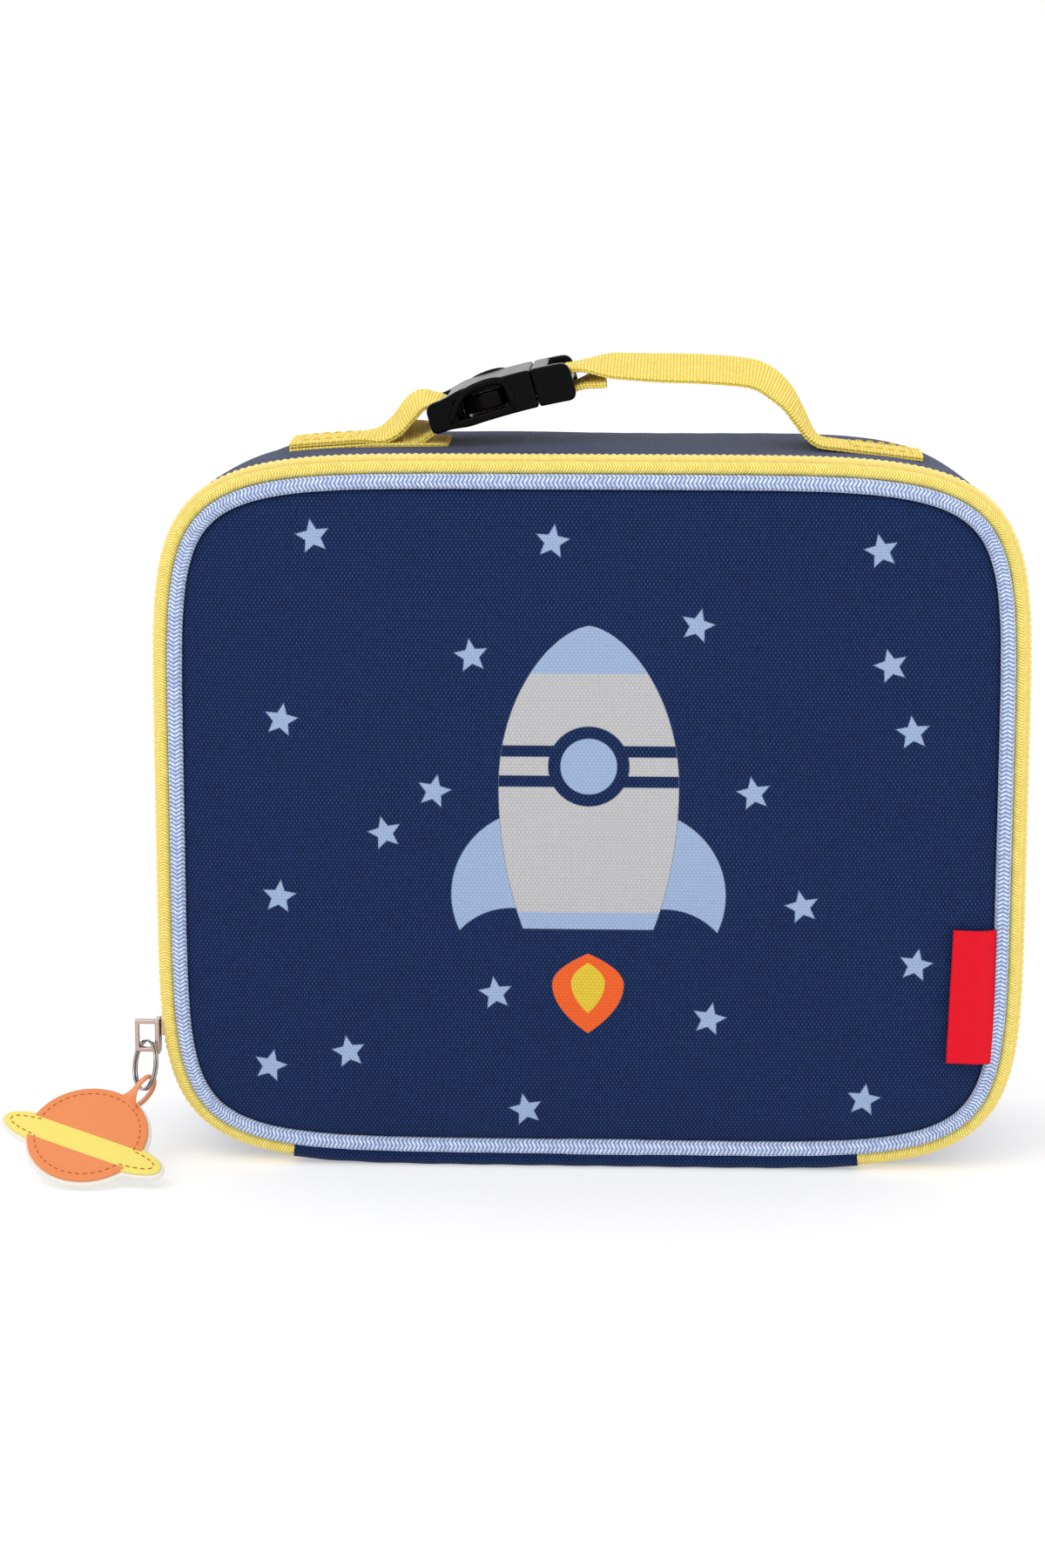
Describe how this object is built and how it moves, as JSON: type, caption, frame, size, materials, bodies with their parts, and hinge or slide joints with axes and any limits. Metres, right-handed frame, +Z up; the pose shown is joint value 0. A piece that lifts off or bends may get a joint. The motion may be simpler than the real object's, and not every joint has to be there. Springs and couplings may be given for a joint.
{
  "type": "kids lunch bag",
  "caption": "Soft insulated lunch bag for a child: padded fabric case with a zipped front lid, webbing handle with side-release buckle and a hanging leather charm.",
  "frame": {"origin": "middle of the base, on the surface the bag stands on", "axes": "+Z up, the zipped lid faces -Y, +X to the right as seen from the lid"},
  "size_m": [0.2683, 0.1017, 0.2123],
  "materials": {
    "canvas_navy": "basket-weave polyester canvas",
    "foam_white": "closed-cell foam padding",
    "lining_silver": "wipe-clean satin lining",
    "piping_blue": "ribbed woven piping",
    "zip_yellow": "woven zip tape and nylon coil",
    "binding_grey": "woven seam binding",
    "mesh_grey": "open knitted mesh",
    "label_red": "woven satin label, plain",
    "patch_white": "plain woven patch",
    "webbing_yellow": "ribbed nylon webbing",
    "buckle_black": "moulded acetal, glossy",
    "zip_metal": "plated die-cast metal",
    "ring_steel": "nickel-plated steel wire",
    "backing_white": "white synthetic leather backing",
    "leather_yellow": "smooth synthetic leather",
    "leather_orange": "smooth synthetic leather"
  },
  "bodies": {
    "case": {"gusset_fabric": "canvas_navy", "gusset_foam": "foam_white", "gusset_lining": "lining_silver", "case_binding": "binding_grey", "rear_zip_coil": "zip_yellow", "rear_zip_tape": "zip_yellow", "back_panel_fabric": "canvas_navy", "back_panel_foam": "foam_white", "back_panel_lining": "lining_silver", "back_piping": "piping_blue", "hinge_fabric": "canvas_navy", "zip_end_tab_left": "canvas_navy", "zip_end_tab_right": "canvas_navy", "name_patch": "patch_white", "handle_anchor_left": "webbing_yellow", "strap_left": "webbing_yellow", "strap_right": "webbing_yellow", "buckle_socket": "buckle_black"},
    "lid": {"front_panel_fabric": "canvas_navy", "front_panel_foam": "foam_white", "front_panel_lining": "lining_silver", "front_piping": "piping_blue", "front_zip_tape": "zip_yellow", "front_zip_coil": "zip_yellow", "lid_binding": "binding_grey", "mesh_pocket": "mesh_grey", "pocket_binding": "canvas_navy", "side_label": "label_red"},
    "slider": {"zip_slider": "zip_metal"},
    "ring": {"split_ring": "ring_steel"},
    "charm": {"charm_backing": "backing_white", "charm_halo": "leather_yellow", "charm_planet_top": "leather_orange", "charm_planet_bottom": "leather_orange", "charm_loop": "leather_orange"},
    "plug": {"buckle_plug": "buckle_black"},
    "arm_front": {"buckle_arm_front": "buckle_black"},
    "arm_rear": {"buckle_arm_rear": "buckle_black"}
  },
  "joints": [
    {"name": "lid_open", "type": "hinge", "parent": "case", "child": "lid", "pos_m": [0, -0.0358, 0.0026], "axis": [1, 0, 0], "range_deg": [0, 66], "deforming": ["hinge_fabric"]},
    {"name": "slider_travel", "type": "slide", "parent": "case", "child": "slider", "axis": [0, 0, 1], "range_m": [0, 0.11]},
    {"name": "ring_swing", "type": "hinge", "parent": "slider", "child": "ring", "pos_m": [-0.1187, -0.029, 0.0323], "axis": [0, 0, -1], "range_deg": [0, 60]},
    {"name": "charm_swing", "type": "hinge", "parent": "ring", "child": "charm", "pos_m": [-0.1187, -0.03403, 0.0201], "axis": [-0.8018, 0.5068, 0.3167], "range_deg": [0, 45]},
    {"name": "buckle_release", "type": "slide", "parent": "case", "child": "plug", "axis": [0.9613, 0, 0.2756], "range_m": [0, 0.024], "deforming": ["strap_right", "buckle_arm_front", "buckle_arm_rear"]},
    {"name": "arm_front_press", "type": "hinge", "parent": "plug", "child": "arm_front", "pos_m": [-0.01538, -0.01015, 0.20519], "axis": [0.2756, 0, -0.9613], "range_deg": [0, 7], "stiffness_Nm_per_rad": 0.02},
    {"name": "arm_rear_press", "type": "hinge", "parent": "plug", "child": "arm_rear", "pos_m": [-0.01538, 0.00615, 0.20519], "axis": [-0.2756, 0, 0.9613], "range_deg": [0, 7], "stiffness_Nm_per_rad": 0.02}
  ]
}
